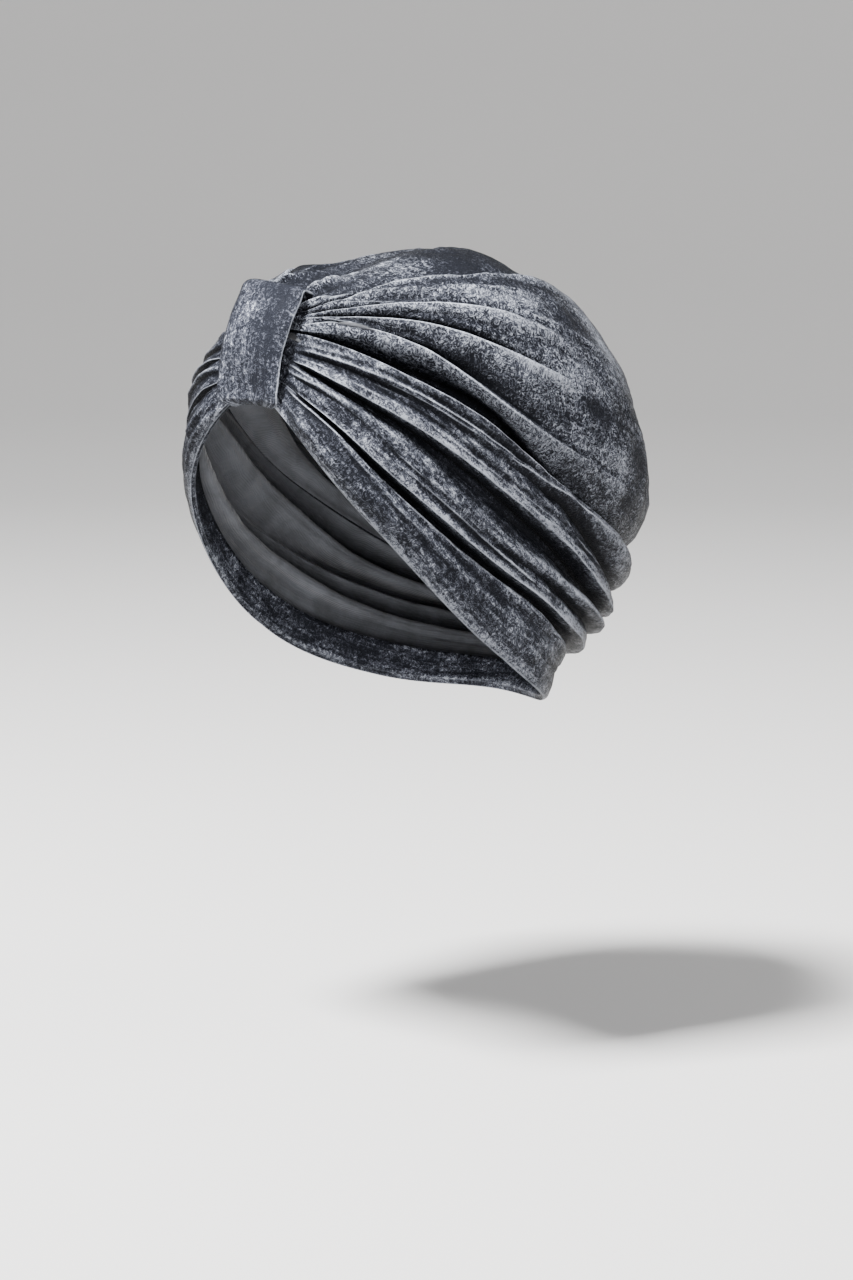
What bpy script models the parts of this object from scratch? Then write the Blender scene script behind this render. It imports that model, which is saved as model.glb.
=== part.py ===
"""Pleated velvet head wrap, worn: a crown, a band of long pleats and a loop at the front.

Metres, +Z up. The front faces -Y and the wearer's left is +X. The origin is the middle of the
head that fills the hollow. Tables are in millimetres and degrees, and a table's row of five
goes round the head from the front: front, temple, side, behind and back.
"""
import math

import bmesh
import bpy
from mathutils import Vector

MM = 0.001

# Cloth
WALL = 1.6 * MM
SEAM_GAP = 0.5 * MM
SLATE = (0.075, 0.088, 0.112, 1.0)
DARK_SLATE = (0.055, 0.065, 0.085, 1.0)

# Gathers inside the loop: the line they lie on, at the middle of the forehead
GATHER_LOW = (-73.0, 39.0)
GATHER_HIGH = (-57.3, 84.0)
# Inside the loop the turns run level; this share of the way round is where they break away
HELD = 0.02

# Creases of the wrap, from the hem up to the seam with the crown. Each is a turn round the
# head: its five heights, its widest half width, its reach back from the origin, how far it is
# filled out at the brow, and how pointed it is at the front and at the temple (0 is a box and
# 1 an oval, as it is from the side on)
WRAP_CREASES = {
    "hem": (40, -12, -71, -98, -101, 80, 78, 6, 0.65, 0.82),
    "under_roll_4": (46, 6, -48, -77, -84, 81, 92, 5, 0.65, 0.82),
    "under_roll_3": (51, 16, -38, -67, -75, 82, 101, 4, 0.66, 0.82),
    "under_roll_2": (57, 28, -24, -58, -66, 83, 108, 3, 0.68, 0.84),
    "under_roll_1": (61, 38, -9, -48, -56, 83, 115, 1, 0.7, 0.87),
    "seam": (66, 48, 2, -31, -37, 81, 116, 0, 0.72, 0.92),
}
# How far a crease is filled out, so that it is a soft line and not a deep one
CREASE_FILL = {
    "under_roll_3": (0.5, 4, 5, 1, 0),
    "under_roll_1": (0.5, 4, 4, 1, 0),
}
# Pleats of the wrap, from the hem up: relief, and where the crest lies between its creases
WRAP_PLEATS = {
    "hem_panel": ((3, 6, 2, 2, 2), 0.5),
    "roll_4": ((3, 5, 4, 7, 8), 0.4),
    "roll_3": ((3, 4, 4, 7, 8), 0.4),
    "roll_2": ((3, 4, 5, 8, 8), 0.45),
    "roll_1": ((3, 6, 9, 12, 12), 0.64),
}
# Above the seam the wrap's edge runs on up under the crown, and leans in towards the head
SEAM_ALLOWANCE = (2, 2, 14, 11, 10)
ALLOWANCE_LEAN = 0.3
# Inside the loop the pleats are pressed flat; they swell out over this much of the way round
WRAP_SWELL = (0.042, 0.085)
CROWN_SWELL = (0.08, 0.16)

# Crown: the turn round its fullest part, and the heights of the line over the top of the
# head at nine stations from the loop to the back
CROWN_TURN = (72, 63, 19, -5, -9, 91, 139, 0, 0.72, 1.55)
TOP_HEIGHTS = (83, 80.5, 87, 97, 102, 92, 69, 39, 8)
TOP_BACK = 140.0
# Rounding of the gathers' upper edge
TOP_EDGE = 3.2
# How round the crown is across, from a flat bundle in the loop to a dome
CROWN_ROUND = (0.55, 0.65, 1.0, 1.1, 1.1)
# Creases of the crown as angles up from its fullest turn
CROWN_CREASES = {
    "lip": (0, 0, 0, 0, 0),
    "over_fold_5": (20, 10, 11, 12, 12),
    "over_fold_4": (38, 31, 24, 24, 24),
    "over_fold_3": (56, 55, 42, 48, 50),
    "over_fold_2": (72, 74, 66, 70, 70),
    "valley": (90, 90, 90, 90, 90),
}
# Folds of the crown, from its lip up: relief and crest, as for the pleats
CROWN_FOLDS = {
    "fold_5": ((2, 5, 4.5, 0, 0), 0.4),
    "fold_4": ((2, 5, 4, 0, 0), 0.45),
    "fold_3": ((2, 5, 3.5, 0, 0), 0.45),
    "fold_2": ((2, 6, 4, 0, 0), 0.5),
    "fold_1": ((1, 5.5, 0, 0, 0), 0.5),
}
# The crown's lower edge turns in under its lip and lies on the seam allowance
TUCK_HEIGHT = (4.2, 4.2, 10, 7, 6)
TUCK_SWELL = (0.25, 0.32)
TUCK_STEPS = 4

# Front loop, a flat tube of velvet, and how far its ends turn in
LOOP_WIDTH = 39 * MM
LOOP_THICK = 2.0 * MM
LOOP_CLEAR = 0.65 * MM
LOOP_BULGE = 2.5 * MM
LOOP_RETURN_LOW = 22 * MM
LOOP_RETURN_HIGH = 3 * MM
# How far its edges lie back at the top, and how far they drop there
LOOP_SAG = 3.0 * MM
LOOP_DROP = 1.0 * MM
# How far its edges stand forward at the bottom, where the forehead is broad
LOOP_FLARE = 1.5 * MM
# Its width where it turns in at the bottom and at the top, as shares of its full width
LOOP_BOTTOM = 0.55
LOOP_TOP = 0.92
LOOP_COLUMNS = 10

# Mesh
WRAP_COLUMNS = 32
CROWN_COLUMNS = 26
ROWS_IN_PLEAT = 4


def through(values, t, end_slope=0.0):
    """Smooth curve through evenly spaced stations, level at the back unless it has a slope."""
    last = len(values) - 1
    place = min(max(t, 0.0), 1.0) * last
    i = min(int(place), last - 1)
    f = place - i

    def slope(k):
        if k == last:
            return end_slope
        if k == 0:
            return 1.5 * (values[1] - values[0]) - 0.25 * (values[2] - values[0])
        return (values[k + 1] - values[k - 1]) / 2

    return (
        (2 * f**3 - 3 * f**2 + 1) * values[i]
        + (f**3 - 2 * f**2 + f) * slope(i)
        + (3 * f**2 - 2 * f**3) * values[i + 1]
        + (f**3 - f**2) * slope(i + 1)
    )


def gather_y(z):
    """Where the gathers lie at the middle of the forehead, by height, in millimetres."""
    share = (z - GATHER_LOW[1]) / (GATHER_HIGH[1] - GATHER_LOW[1])
    return GATHER_LOW[0] + share * (GATHER_HIGH[0] - GATHER_LOW[0])


def turn(row, t):
    """Point of a turn round the head: t is 0 at the forehead and 1 at the back."""
    half_width, reach, brow, *ovals = row[5:]
    front = gather_y(row[0])
    angle = math.pi * t
    oval = through((*ovals, 1, 1, 1), t)
    x = half_width * max(math.sin(angle), 0.0) ** oval
    y = front + (reach - front) * (1 - math.cos(angle)) / 2
    y -= brow * max(math.sin(2 * angle), 0.0)
    level = t**3 / (t**2 + HELD**2)
    return Vector((x if 0 < t < 1 else 0.0, y, through(row[:5], level))) * MM


def arch(share, crest):
    """Across a pleat: how far over and how far out the cloth is, with its crest at crest."""
    out = math.sin(math.pi * share ** (math.log(0.5) / math.log(crest))) ** 0.75
    over = 0.6 * share + 0.4 * (1 - math.cos(math.pi * share)) / 2
    return over, out


def top_point(t):
    """The line over the top of the head, from the loop back and down to the crown's turn."""
    front = gather_y(TOP_HEIGHTS[0])
    y = front + (TOP_BACK - front) * (1 - math.cos(math.pi * t)) / 2
    fall = TOP_HEIGHTS[-1] - TOP_HEIGHTS[-2]
    short = max(TOP_EDGE - (y - front), 0.0)
    edge = TOP_EDGE - math.sqrt(TOP_EDGE**2 - short**2)
    return Vector((0, y, through(TOP_HEIGHTS, t, fall) - edge)) * MM


def crown_point(t, degrees):
    """Point of the crown before its folds: degrees is 0 at its fullest turn, 90 at the top."""
    side = turn(CROWN_TURN, t)
    foot = Vector((0, side.y, side.z))
    up = math.radians(degrees)
    power = through(CROWN_ROUND, t)
    rise = math.sin(up) ** power * (top_point(t) - foot)
    spread = max(math.cos(up), 0.0) ** power * side.x
    return foot + rise + Vector((spread, 0, 0))


def columns(count):
    """Stations from front to back, closer together at the forehead and at the back."""
    steps = [i / count for i in range(count + 1)]
    return [s - 0.05 * math.sin(2 * math.pi * s) for s in steps]


def swollen(t, swell):
    """0 where the loop presses the pleats, 1 where they are free."""
    share = min(max((t - swell[0]) / (swell[1] - swell[0]), 0.0), 1.0)
    return share * share * (3 - 2 * share)


def pleated(places, creases, pleats, fills, swell, place_of):
    """Rows of points and reliefs: from each crease to the next one up, with its pleat."""
    rows = []
    names = list(creases)
    for (low, high), (relief, crest) in zip(zip(names, names[1:]), pleats.values()):
        last = ROWS_IN_PLEAT + (high == names[-1])
        for k in range(last):
            over, out = arch(min(k / ROWS_IN_PLEAT, 1.0), crest)
            points = []
            for t in places:
                fill = (1 - over) * through(fills.get(low, (0,) * 5), t)
                fill += over * through(fills.get(high, (0,) * 5), t)
                free = swollen(t, swell)
                raised = free * (fill + out * max(through(relief, t), 0.0))
                points.append((place_of(low, high, over, t), raised * MM))
            rows.append(points)
    return rows


def surface(name, rows, outward):
    """Half a cloth surface as a grid, raised along its own normals."""
    high, wide = len(rows), len(rows[0])
    bm = bmesh.new()
    bmesh.ops.create_grid(bm, x_segments=wide - 1, y_segments=high - 1, size=1)
    bm.verts.ensure_lookup_table()
    for i, vert in enumerate(bm.verts):
        vert.co = rows[i // wide][i % wide][0]
    bm.normal_update()
    middle = bm.verts[high // 2 * wide + wide // 2]
    sign = 1 if middle.normal.dot(outward) > 0 else -1
    moves = []
    for i, vert in enumerate(bm.verts):
        normal = sign * vert.normal
        if vert.co.x == 0:
            normal = Vector((0, normal.y, normal.z)).normalized()
        moves.append(normal * rows[i // wide][i % wide][1])
    for vert, move in zip(bm.verts, moves):
        vert.co += move
    if sign < 0:
        bmesh.ops.reverse_faces(bm, faces=bm.faces)
    mesh = bpy.data.meshes.new(name)
    bm.to_mesh(mesh)
    bm.free()
    return mesh


def material(name, colour, roughness):
    """Cloth finish with the soft edge sheen of a pile."""
    finish = bpy.data.materials.new(name)
    finish.use_nodes = True
    shader = finish.node_tree.nodes["Principled BSDF"]
    shader.inputs["Base Color"].default_value = colour
    shader.inputs["Roughness"].default_value = roughness
    shader.inputs["Metallic"].default_value = 0.0
    shader.inputs["Sheen Weight"].default_value = 0.6
    return finish


def cloth(name, mesh, finish, collection):
    """A node made of a half surface: mirrored, then given the thickness of the cloth."""
    obj = bpy.data.objects.new(name, mesh)
    collection.objects.link(obj)
    mesh.materials.append(finish)
    mesh.shade_smooth()
    mirror = obj.modifiers.new("Mirror", "MIRROR")
    mirror.use_axis = (True, False, False)
    mirror.use_mirror_merge = True
    mirror.merge_threshold = 0.00005
    wall = obj.modifiers.new("Wall", "SOLIDIFY")
    wall.thickness = WALL
    wall.offset = -1
    return obj


def allowance(t, rise):
    """Point of the wrap's edge above the seam, where it leans in towards the head."""
    seam = WRAP_CREASES["seam"]
    heights = [height + rise for height in seam[:5]]
    lean = ALLOWANCE_LEAN * rise
    return turn((*heights, seam[5] - lean, seam[6] - lean, *seam[7:]), t)


def build_wrap(finish, collection):
    """The long pleats, from the hem up to the edge that lies under the crown."""
    places = columns(WRAP_COLUMNS)

    def place_of(low, high, over, t):
        return turn(WRAP_CREASES[low], t).lerp(turn(WRAP_CREASES[high], t), over)

    rows = pleated(places, WRAP_CREASES, WRAP_PLEATS, CREASE_FILL, WRAP_SWELL, place_of)
    for share in (0.5, 1.0):
        row = []
        for t in places:
            rise = max(through(SEAM_ALLOWANCE, t), SEAM_ALLOWANCE[0])
            row.append((allowance(t, rise * share), 0.0))
        rows.append(row)
    return cloth("pleated_wrap", surface("pleated_wrap", rows, Vector((1, 0, 0))),
                 finish, collection)


def build_crown(finish, collection):
    """The puffed top with its folds, and the lip that turns in over the wrap's edge."""
    places = columns(CROWN_COLUMNS)

    def place_of(low, high, over, t):
        angle = (1 - over) * through(CROWN_CREASES[low], t)
        angle += over * through(CROWN_CREASES[high], t)
        return crown_point(t, min(max(angle, 0.0), 90.0))

    rows = pleated(places, CROWN_CREASES, CROWN_FOLDS, {}, CROWN_SWELL, place_of)
    lip = rows[0]
    tuck = []
    for t in places:
        seam = allowance(t, through(TUCK_HEIGHT, t))
        out = Vector((seam.x, seam.y * 0.8, 0)).normalized()
        tuck.append(seam + out * (WALL + SEAM_GAP) * swollen(t, TUCK_SWELL))
    under = []
    for k in range(TUCK_STEPS):
        angle = math.pi / 2 * k / TUCK_STEPS
        row = []
        for t, edge, (point, _) in zip(places, tuck, lip):
            turned = swollen(t, TUCK_SWELL)
            straight = k / TUCK_STEPS * (1 - turned)
            out = edge.lerp(point, math.sin(angle) * turned + straight)
            up = edge.lerp(point, (1 - math.cos(angle)) * turned + straight)
            row.append((Vector((out.x, out.y, up.z)), 0.0))
        under.append(row)
    return cloth("crown", surface("crown", under + rows, Vector((1, 0, 0))),
                 finish, collection)


def hem_at(x):
    """Point of the hem at this distance from the middle, near the loop."""
    near, far = 0.0, 0.2
    for _ in range(30):
        t = (near + far) / 2
        if turn(WRAP_CREASES["hem"], t).x < x:
            near = t
        else:
            far = t
    return turn(WRAP_CREASES["hem"], (near + far) / 2)


def loop_path(side):
    """One line of the loop: up inside the hem, out round it, up the front and over the top."""
    half = side * LOOP_WIDTH / 2
    low = hem_at(abs(half) * LOOP_BOTTOM)
    low.x = 0
    top = TOP_HEIGHTS[0]
    lie_back = LOOP_SAG * (0.4 * side**2 + 0.6 * side**4)
    high = Vector((0, gather_y(top) * MM + lie_back, top * MM - LOOP_DROP * side**4))
    along = (high - low).normalized()
    out = Vector((0, -along.z, along.y))
    front = LOOP_CLEAR
    inside = WALL + LOOP_CLEAR
    wide = Vector((half, 0, 0))
    path = []
    for share in (1.0, 0.66, 0.33):
        path.append(low - out * inside + along * LOOP_RETURN_LOW * share + wide * LOOP_BOTTOM)
    middle = low + out * (front - inside) / 2 - along * LOOP_CLEAR
    round_hem = (front + inside) / 2
    for k in range(5):
        angle = math.pi * k / 4
        turned = out * math.cos(angle) + along * 0.6 * math.sin(angle)
        spread = LOOP_BOTTOM + 0.3 * (k // 4)
        path.append(middle - turned * round_hem + wide * spread)
    for k in range(1, 9):
        share = k / 9 if k > 1 else 0.08
        bulge = LOOP_BULGE * (1 - side**4) * math.sin(math.pi * share) + front
        flare = LOOP_FLARE * side**2 * (1 - share)
        path.append(low.lerp(high, share) + out * (bulge + flare) + wide)
    for k in range(4):
        angle = math.pi / 2 * k / 3
        turned = out * math.cos(angle) + along * math.sin(angle)
        path.append(high + turned * front + wide * (1 + (LOOP_TOP - 1) * k / 3))
    path.append(path[-1] - out * LOOP_RETURN_HIGH)
    return path


def build_loop(finish, collection):
    """The band over the gathers at the middle of the forehead."""
    paths = [loop_path(2 * k / LOOP_COLUMNS - 1) for k in range(LOOP_COLUMNS + 1)]
    long = len(paths[0])
    bm = bmesh.new()
    bmesh.ops.create_grid(bm, x_segments=LOOP_COLUMNS, y_segments=long - 1, size=1)
    bm.verts.ensure_lookup_table()
    for i, vert in enumerate(bm.verts):
        vert.co = paths[i % len(paths)][i // len(paths)]
    mesh = bpy.data.meshes.new("front_loop")
    bm.to_mesh(mesh)
    bm.free()
    obj = bpy.data.objects.new("front_loop", mesh)
    collection.objects.link(obj)
    mesh.materials.append(finish)
    mesh.shade_smooth()
    wall = obj.modifiers.new("Wall", "SOLIDIFY")
    wall.thickness = LOOP_THICK
    wall.offset = 1
    return obj


for old in list(bpy.data.objects):
    bpy.data.objects.remove(old, do_unlink=True)
head_wrap = bpy.data.collections.new("head_wrap")
bpy.context.scene.collection.children.link(head_wrap)
velvet = material("slate velvet", SLATE, 0.75)
loop_velvet = material("slate velvet, loop", DARK_SLATE, 0.7)
build_wrap(velvet, head_wrap)
build_crown(velvet, head_wrap)
build_loop(loop_velvet, head_wrap)
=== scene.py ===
"""Pleated velvet head wrap as it is worn: the pleated wrap, the crown and the front loop.

The front faces -Y and the wearer's left is +X. Sizes are in millimetres, but those times MM and
the studio's are in metres. A table's row of nine goes round one side in equal steps, from the
middle of the front to the middle of the back.
"""
import math

import bmesh
import bpy
import numpy as np
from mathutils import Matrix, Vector, noise


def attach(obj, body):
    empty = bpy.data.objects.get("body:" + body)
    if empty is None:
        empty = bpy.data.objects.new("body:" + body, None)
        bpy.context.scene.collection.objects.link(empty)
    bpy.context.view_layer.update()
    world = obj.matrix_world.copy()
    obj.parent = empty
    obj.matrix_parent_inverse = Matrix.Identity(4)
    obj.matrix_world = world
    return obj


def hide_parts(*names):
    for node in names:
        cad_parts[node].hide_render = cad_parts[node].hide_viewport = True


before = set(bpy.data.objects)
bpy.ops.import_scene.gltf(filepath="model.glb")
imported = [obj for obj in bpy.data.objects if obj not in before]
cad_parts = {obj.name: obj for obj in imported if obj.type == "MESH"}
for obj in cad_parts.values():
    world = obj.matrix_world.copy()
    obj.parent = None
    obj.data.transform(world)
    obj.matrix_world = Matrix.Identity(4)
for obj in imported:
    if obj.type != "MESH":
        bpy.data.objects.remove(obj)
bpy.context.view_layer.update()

# Pleated wrap. One long piece of crushed stretch velvet, folded into pleats that run from the
# loop down to the nape. Its lower edge is turned up inside as a hem, and its upper edge is
# folded in over the crown's edge, to which it is stitched.
MM = 0.001
WALL = 1.2 * MM
# The line of the gathers at the middle of the front: how far back and how high its two ends are
GATHER_LOW = (-73.0, 39.0)
GATHER_HIGH = (-57.3, 84.0)
# The loop keeps every turn level over about this much of the way round
HELD = 0.02
# Turns round the wrap, from the hem up: five heights, half width, reach back, fullness at the
# brow, and how pointed it is at the front and at the temple
WRAP_TURNS = (
    (40, -12, -71, -98, -101, 80, 75, 6, 0.65, 0.82),
    (46, 6, -48, -77, -84, 81, 90, 5, 0.65, 0.82),
    (51, 16, -38, -67, -75, 82, 101, 4, 0.66, 0.82),
    (57, 28, -24, -58, -66, 83, 108, 3, 0.68, 0.84),
    (61, 38, -9, -48, -56, 83, 115, 1, 0.7, 0.87),
    (66, 48, 2, -31, -37, 81, 116, 0, 0.72, 0.92),
)
# The turn round the crown's fullest part, which is turn 6
CROWN_TURN = (72, 63, 19, -5, -9, 91, 139, 0, 0.72, 1.55)
# Lines along the wrap from the hem's raw edge up: how many rows of mesh follow before the next
# line, the line's place counted in turns, and how far the cloth stands out there
WRAP_FOLDS = (
    ("hem's raw edge", 6, (0.55,) * 9, (-3.4, -3.4, -3.4, -3.4, -3.4, -4, -7, -5.8, -4.6)),
    ("hem inside", 3, (0.02,) * 9, (-3, -3, -3, -3, -3, -3.3, -5, -4.2, -3.6)),
    ("hem's fold", 3, (-0.06,) * 9, (-1.4, -1.4, -1.4, -1.4, -1.4, -1.6, -3.2, -2.4, -1.9)),
    ("hem", 12, (0.03,) * 9, (0.3, 0.3, 0.3, 0.3, 0.3, 0, -1.6, -0.9, -0.3)),
    ("panel", 9, (0.6, 0.5, 0.45, 0.42, 0.42, 0.42, 0.45, 0.5, 0.5),
     (2.5, 4, 4, 3, 2.5, 1.2, -3.2, -2, -0.5)),
    ("panel's top", 5, (1.45, 1.35, 0.94, 0.94, 1.08, 0.92, 0.82, 0.82, 0.82),
     (2.5, 3.5, 2.5, 1.5, 1.5, 1, -1.5, -1, -0.5)),
    ("gap under roll 4", 4, (1.66, 1.52, 1.08, 1.08, 1.2, 1.1, 1.0, 1.0, 1.0),
     (0.5, -0.5, -3.5, -4, -4.5, -5, -4, -3, -2.5)),
    ("under roll 4", 5, (1.75, 1.62, 1.22, 1.22, 1.34, 1.2, 1.12, 1.12, 1.12),
     (0, -1, -4, -4.5, -5, -5.2, -4.2, -3, -2.5)),
    ("roll 4", 14, (1.85, 1.72, 1.3, 1.3, 1.42, 1.28, 1.26, 1.3, 1.35),
     (3, 4.5, 5, 4.5, 5, 5.5, 4, 5.5, 6)),
    ("under roll 3", 6, (2.3, 2.55, 2.25, 1.98, 2.12, 2.0, 1.95, 2, 2),
     (1, 3.5, 4, 3.5, 1.2, -2, -2, -1, -1)),
    ("roll 3", 9, (2.6, 2.75, 2.5, 2.3, 2.3, 2.3, 2.3, 2.35, 2.35),
     (3, 5, 4.5, 4, 5, 6.5, 6.5, 7.5, 7.5)),
    ("gap under roll 2", 5, (3.3, 3.02, 2.98, 3.02, 2.98, 2.75, 2.7, 2.7, 2.7),
     (0.5, 0, -1, -2.5, -3.8, -4.2, -3, -2, -1.5)),
    ("under roll 2", 5, (3.45, 3.2, 3.2, 3.33, 3.28, 2.97, 2.85, 2.85, 2.85),
     (0, -0.5, -2.5, -3.5, -4.4, -4.4, -3, -2, -1.5)),
    ("roll 2", 14, (3.6, 3.32, 3.3, 3.42, 3.38, 3.1, 3.05, 3.1, 3.15),
     (3, 5, 5.5, 5.5, 6, 7, 6.5, 6.5, 7)),
    ("under roll 1", 8, (4.05, 4.27, 4.18, 4.18, 4.22, 4.0, 3.85, 3.85, 3.85),
     (1, 3, 4, 5, 2.8, -1, -2, -1.2, -1)),
    ("roll 1", 10, (4.6, 4.6, 4.5, 4.58, 4.46, 4.38, 4.38, 4.4, 4.4),
     (3, 5.5, 7, 8, 9, 11, 11.5, 11.5, 11.5)),
    ("top edge", 4, (5.48, 5.25, 5.0, 5.0, 4.72, 4.66, 4.8, 4.86, 4.88),
     (3, 5.5, 7, 8, 9, 9, 8, 8, 8)),
    ("top fold", 5, (5.5, 5.28, 5.04, 5.05, 4.78, 4.73, 4.88, 4.95, 5.0),
     (1.6, 4, 5.5, 6.3, 6.8, 6, 4, 4, 4)),
    ("top inside", 0, (5.1, 4.9, 4.7, 4.7, 4.5, 4.45, 4.55, 4.6, 4.65),
     (-1, 1.5, 2.5, 3.2, 4, 2, 0, 0, 0)),
)
# How round the cloth is between two such lines: below 1 is fuller
FOLD_ROUND = 0.85
# Inside the loop the pleats are pressed flat; they swell out over this much of the way round
WRAP_SWELL = (0.03, 0.085)
# On the wearer's right, gaps deeper than this relief are filled by this share near the loop,
# and less and less over this much of the way round
WRAP_FAR_LEVEL = 3
WRAP_FAR_FILL = 0.75
WRAP_FAR_ENDS = (0.12, 0.26)
# The cloth above this turn stands out in the direction that it has there
WRAP_LAST_AWAY = 4.4
WRAP_COLUMNS = 160
# How far the columns are moved towards the front and the back, in one wave and in two
CROWDED = (0.07, 0.02)
# Small numbers that keep a length or a spacing from being nothing
TINY = 1e-12
LEAST_STEP = 1e-4
LEAST_GAP = 0.05


def blended(f, low, low_slope, high, high_slope):
    """Smooth way from one value and slope to the next, as f goes from 0 to 1."""
    return (
        (2 * f**3 - 3 * f**2 + 1) * low
        + (f**3 - 2 * f**2 + f) * low_slope
        + (3 * f**2 - 2 * f**3) * high
        + (f**3 - f**2) * high_slope
    )


def through(values, t, end_slope=0.0):
    """Smooth curve through evenly spaced values, level at the back unless it has a slope."""
    values = np.asarray(values, float)
    last = len(values) - 1
    slopes = np.full(last + 1, float(end_slope))
    slopes[0] = 1.5 * (values[1] - values[0]) - 0.25 * (values[2] - values[0])
    slopes[1:-1] = (values[2:] - values[:-2]) / 2
    place = np.clip(t, 0, 1) * last
    i = np.minimum(place.astype(int), last - 1)
    return blended(place - i, values[i], slopes[i], values[i + 1], slopes[i + 1])


def gather_y(z):
    """Where the gathers lie at the middle of the front, by height."""
    share = (z - GATHER_LOW[1]) / (GATHER_HIGH[1] - GATHER_LOW[1])
    return GATHER_LOW[0] + share * (GATHER_HIGH[0] - GATHER_LOW[0])


def turn(row, t):
    """Points of a turn round the wearer's left side: t is 0 at the front, 1 at the back."""
    half_width, reach, brow, *ovals = row[5:]
    front = gather_y(row[0])
    angle = math.pi * t
    side = np.maximum(np.sin(angle), 0) ** through((*ovals, 1, 1, 1), t)
    x = np.where((t > 0) & (t < 1), half_width * side, 0)
    y = front + (reach - front) * (1 - np.cos(angle)) / 2
    y -= brow * np.maximum(np.sin(2 * angle), 0)
    level = t**3 / (t**2 + HELD**2)
    return np.stack([x, y, through(row[:5], level)], -1)


def eased(t, low, high):
    """0 up to low, 1 from high on, and smooth between."""
    share = np.clip((t - low) / (high - low), 0, 1)
    return share * share * (3 - 2 * share)


def wrap_form(t, turns):
    """The form under the pleats, at this many turns up from the hem."""
    rows = np.array([turn(row, t) for row in (*WRAP_TURNS, CROWN_TURN)])
    slopes = np.gradient(rows, axis=0)
    i = np.clip(np.floor(turns).astype(int), 0, len(rows) - 2)
    f = (turns - i)[..., None]
    j = np.broadcast_to(np.arange(t.size), i.shape)
    bent = blended(f, rows[i, j], slopes[i, j], rows[i + 1, j], slopes[i + 1, j])
    below = rows[0] + f * slopes[0]
    return np.where(f < 0, below, bent)


def stations(count):
    """Stations from front to back, closer together at both."""
    t = np.linspace(0, 1, count + 1)
    once, twice = CROWDED
    return t - once * np.sin(2 * math.pi * t) - twice * np.sin(4 * math.pi * t)


def fold_rows(folds, t):
    """Place and relief of each row of mesh, across the folds from the first line to the last."""
    places, reliefs = [], []
    for this, after in zip(folds, (*folds[1:], folds[-1])):
        rows = max(this[1], 1)
        place, relief = through(this[2], t), through(this[3], t)
        next_place, next_relief = through(after[2], t), through(after[3], t)
        for step in range(rows):
            share = step / rows
            up = math.sin(math.pi / 2 * share) ** FOLD_ROUND
            down = 1 - math.sin(math.pi / 2 * (1 - share)) ** FOLD_ROUND
            bend = np.where(next_relief > relief, up, down)
            places.append(place + (next_place - place) * share)
            reliefs.append(relief + (next_relief - relief) * bend)
    return np.array(places), np.array(reliefs)


def crossed(points):
    """Directions square to a grid of points, of any length."""
    return np.cross(np.gradient(points, axis=1), np.gradient(points, axis=0))


def unit(directions):
    """The same directions, each of length 1."""
    return directions / (np.linalg.norm(directions, axis=-1, keepdims=True) + TINY)


def outward(points):
    """Which way is out at each point of a grid on the wearer's left side."""
    normal = crossed(points)
    normal[points[..., 0] == 0, 0] = 0
    normal = unit(normal)
    middle = normal[len(normal) // 2, normal.shape[1] // 2]
    return normal if middle[0] > 0 else -normal


def swelled(form, away, reliefs, free):
    """A form with its folds, where those that stand out do so only where the cloth is free."""
    inside = np.minimum(reliefs, 0)
    return form + away * (inside + free * (reliefs - inside))[..., None]


def lengths(points, axis):
    """Distance along each line of a grid of points, from its first point."""
    steps = np.linalg.norm(np.diff(points, axis=axis), axis=-1)
    total = np.cumsum(steps, axis=axis)
    first = np.zeros_like(total[:1] if axis == 0 else total[:, :1])
    return np.concatenate([first, total], axis=axis)


def joined(near, far, axis):
    """Two grids in one, the second turned round, where they share the line between them."""
    return np.concatenate([near, np.delete(np.flip(far, axis), 0, axis)], axis=axis)


# Fine folds that run along the pleats: where each starts and ends on the way round, its place
# in turns, how high it stands (a crease stands below 0), and how wide it is above and below. The
# second table is for the wearer's right alone.
WRAP_LINES = (
    ("panel seam", 0.09, 0.46, (1.5, 1.05, 0.66, 0.6, 0.55), 1.0, 2.2, 1.2),
    ("panel seam, upper", 0.12, 0.34, (1.42, 1.3, 1.08, 0.92, 0.86), 0.6, 1.6, 1.0),
    ("panel crease", 0.36, 0.66, (0.8, 0.75, 0.78, 0.76, 0.7), -1.2, 2.5, 2.5),
    ("roll 4 crease", 0.3, 0.62, (1.6, 1.62, 1.66, 1.64), -1.3, 1.6, 1.6),
    ("roll 3 stitched line", 0.14, 0.42, (2.62, 2.36, 2.08, 2.04, 2.0), 1.0, 2.0, 1.0),
    ("roll 3 crease", 0.1, 0.3, (2.85, 2.84, 2.7), -1.0, 1.8, 1.8),
    ("under roll 2, shelf", 0.3, 0.62, (2.7, 2.68, 2.72, 2.62), -1.6, 5.0, 3.0),
    ("roll 2 line", 0.16, 0.6, (3.8, 3.82, 3.78, 3.8, 3.72), -1.2, 1.2, 1.2),
    ("roll 2 line, low", 0.3, 0.66, (3.6, 3.6, 3.62, 3.5), -1.0, 1.0, 1.0),
    ("roll 1 line", 0.1, 0.6, (4.75, 4.72, 4.6, 4.66, 4.52), -1.0, 1.4, 1.2),
    ("roll 1 line, low", 0.2, 0.5, (4.42, 4.4, 4.46, 4.5), -1.0, 1.0, 1.0),
    ("pleat by the loop", 0.03, 0.19, (0.72, 0.58, 0.42), 1.5, 3.0, 2.4),
    ("gap by the loop", 0.03, 0.17, (0.36, 0.28, 0.16), -1.5, 1.8, 1.4),
)
WRAP_FAR_LINES = (
    ("full brow", 0.02, 0.3, (3.3, 3.2, 3.2), 2.4, 9, 16),
    ("low edge", 0.1, 0.24, (5.1, 5.1), -2.4, 3.5, 4),
)
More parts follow.
